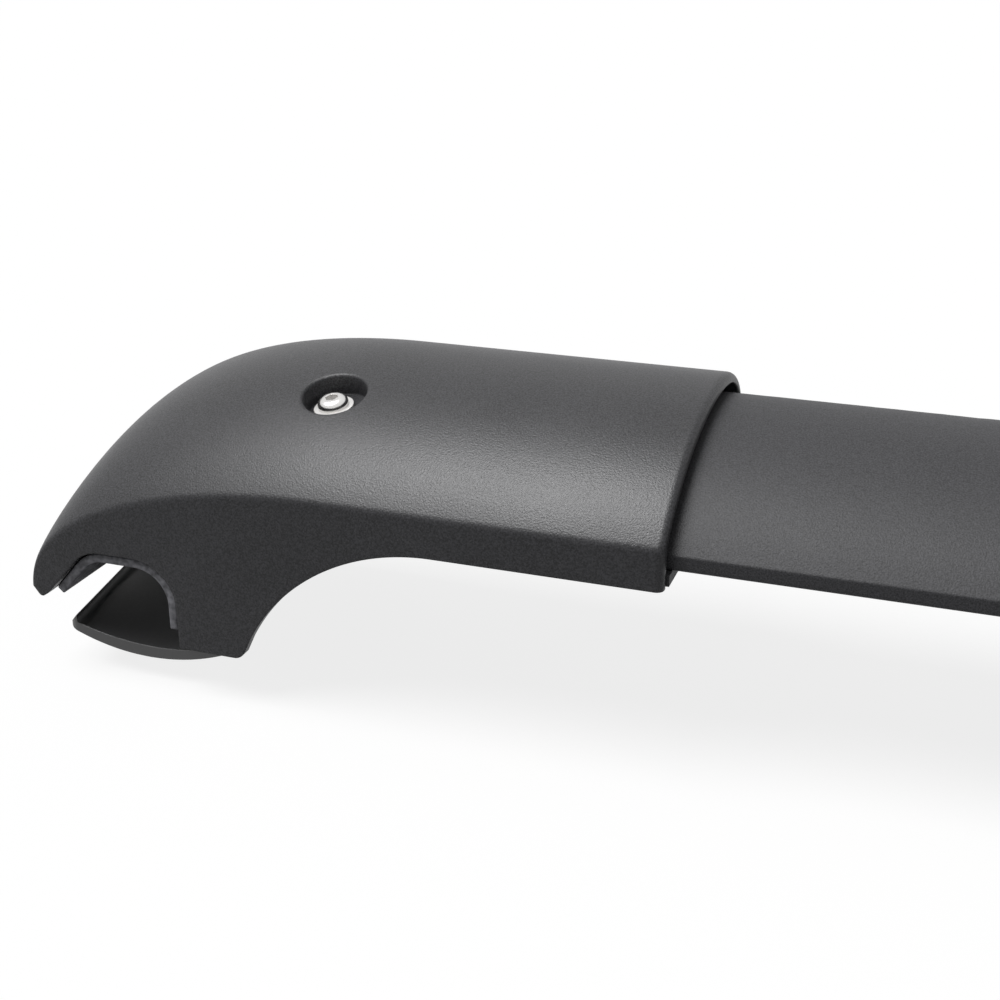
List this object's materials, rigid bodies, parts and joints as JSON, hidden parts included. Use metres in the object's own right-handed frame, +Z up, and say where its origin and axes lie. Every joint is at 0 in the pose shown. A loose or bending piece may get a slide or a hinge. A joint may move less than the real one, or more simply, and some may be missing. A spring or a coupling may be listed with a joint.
{
  "type": "pair of roof cross bars",
  "caption": "Pair of black roof cross bars with aerofoil bars and moulded feet that clamp on raised side rails by a bolt and a lower jaw.",
  "frame": {"origin": "on the floor under the middle of the pair, which stands on its four clamp jaws", "axes": "+X along the bars to the car's right, +Y along the car to its front, +Z up"},
  "size_m": [1.1, 0.816, 0.098],
  "materials": {
    "cover_plastic": "textured",
    "bar_coat": "fine textured black powder coat",
    "core_casting": "matte",
    "jaw_casting": "satin black",
    "liner_rubber": "matte",
    "bright_steel": "bright",
    "dark_steel": "dark zinc"
  },
  "bodies": {
    "pair": {"front_bar": "bar_coat", "rear_bar": "bar_coat", "front_left_foot_cover": "cover_plastic", "front_left_foot_core": "core_casting", "front_left_core_screws": "dark_steel", "front_left_rail_liner": "liner_rubber", "front_left_bolt_washer": "bright_steel", "front_right_foot_cover": "cover_plastic", "front_right_foot_core": "core_casting", "front_right_core_screws": "dark_steel", "front_right_rail_liner": "liner_rubber", "front_right_bolt_washer": "bright_steel", "rear_left_foot_cover": "cover_plastic", "rear_left_foot_core": "core_casting", "rear_left_core_screws": "dark_steel", "rear_left_rail_liner": "liner_rubber", "rear_left_bolt_washer": "bright_steel", "rear_right_foot_cover": "cover_plastic", "rear_right_foot_core": "core_casting", "rear_right_core_screws": "dark_steel", "rear_right_rail_liner": "liner_rubber", "rear_right_bolt_washer": "bright_steel"},
    "front_left_jaw": {"front_left_clamp_jaw": "jaw_casting", "front_left_jaw_nut": "dark_steel"},
    "front_left_bolt": {"front_left_clamp_bolt": "bright_steel"},
    "front_right_jaw": {"front_right_clamp_jaw": "jaw_casting", "front_right_jaw_nut": "dark_steel"},
    "front_right_bolt": {"front_right_clamp_bolt": "bright_steel"},
    "rear_left_jaw": {"rear_left_clamp_jaw": "jaw_casting", "rear_left_jaw_nut": "dark_steel"},
    "rear_left_bolt": {"rear_left_clamp_bolt": "bright_steel"},
    "rear_right_jaw": {"rear_right_clamp_jaw": "jaw_casting", "rear_right_jaw_nut": "dark_steel"},
    "rear_right_bolt": {"rear_right_clamp_bolt": "bright_steel"}
  },
  "joints": [
    {"name": "front_left_bolt_turn", "type": "hinge", "parent": "pair", "child": "front_left_bolt", "pos_m": [-0.452, 0.331, 0.0917], "axis": [-0.1023, -0.2068, 0.973], "range_deg": [0, 2880]},
    {"name": "front_left_jaw_slide", "type": "slide", "parent": "pair", "child": "front_left_jaw", "axis": [0.1023, 0.2068, -0.973], "range_m": [0, 0.008]},
    {"name": "front_right_bolt_turn", "type": "hinge", "parent": "pair", "child": "front_right_bolt", "pos_m": [0.452, 0.331, 0.0917], "axis": [0.1023, -0.2068, 0.973], "range_deg": [0, 2880]},
    {"name": "front_right_jaw_slide", "type": "slide", "parent": "pair", "child": "front_right_jaw", "axis": [-0.1023, 0.2068, -0.973], "range_m": [0, 0.008]},
    {"name": "rear_left_bolt_turn", "type": "hinge", "parent": "pair", "child": "rear_left_bolt", "pos_m": [-0.452, -0.369, 0.0917], "axis": [-0.1023, -0.2068, 0.973], "range_deg": [0, 2880]},
    {"name": "rear_left_jaw_slide", "type": "slide", "parent": "pair", "child": "rear_left_jaw", "axis": [0.1023, 0.2068, -0.973], "range_m": [0, 0.008]},
    {"name": "rear_right_bolt_turn", "type": "hinge", "parent": "pair", "child": "rear_right_bolt", "pos_m": [0.452, -0.369, 0.0917], "axis": [0.1023, -0.2068, 0.973], "range_deg": [0, 2880]},
    {"name": "rear_right_jaw_slide", "type": "slide", "parent": "pair", "child": "rear_right_jaw", "axis": [-0.1023, 0.2068, -0.973], "range_m": [0, 0.008]}
  ],
  "couplings": [
    {"joint": "front_left_bolt_turn", "follows": "front_left_jaw_slide", "rad_per_m": 6283.2},
    {"joint": "front_right_bolt_turn", "follows": "front_right_jaw_slide", "rad_per_m": 6283.2},
    {"joint": "rear_left_bolt_turn", "follows": "rear_left_jaw_slide", "rad_per_m": 6283.2},
    {"joint": "rear_right_bolt_turn", "follows": "rear_right_jaw_slide", "rad_per_m": 6283.2}
  ]
}
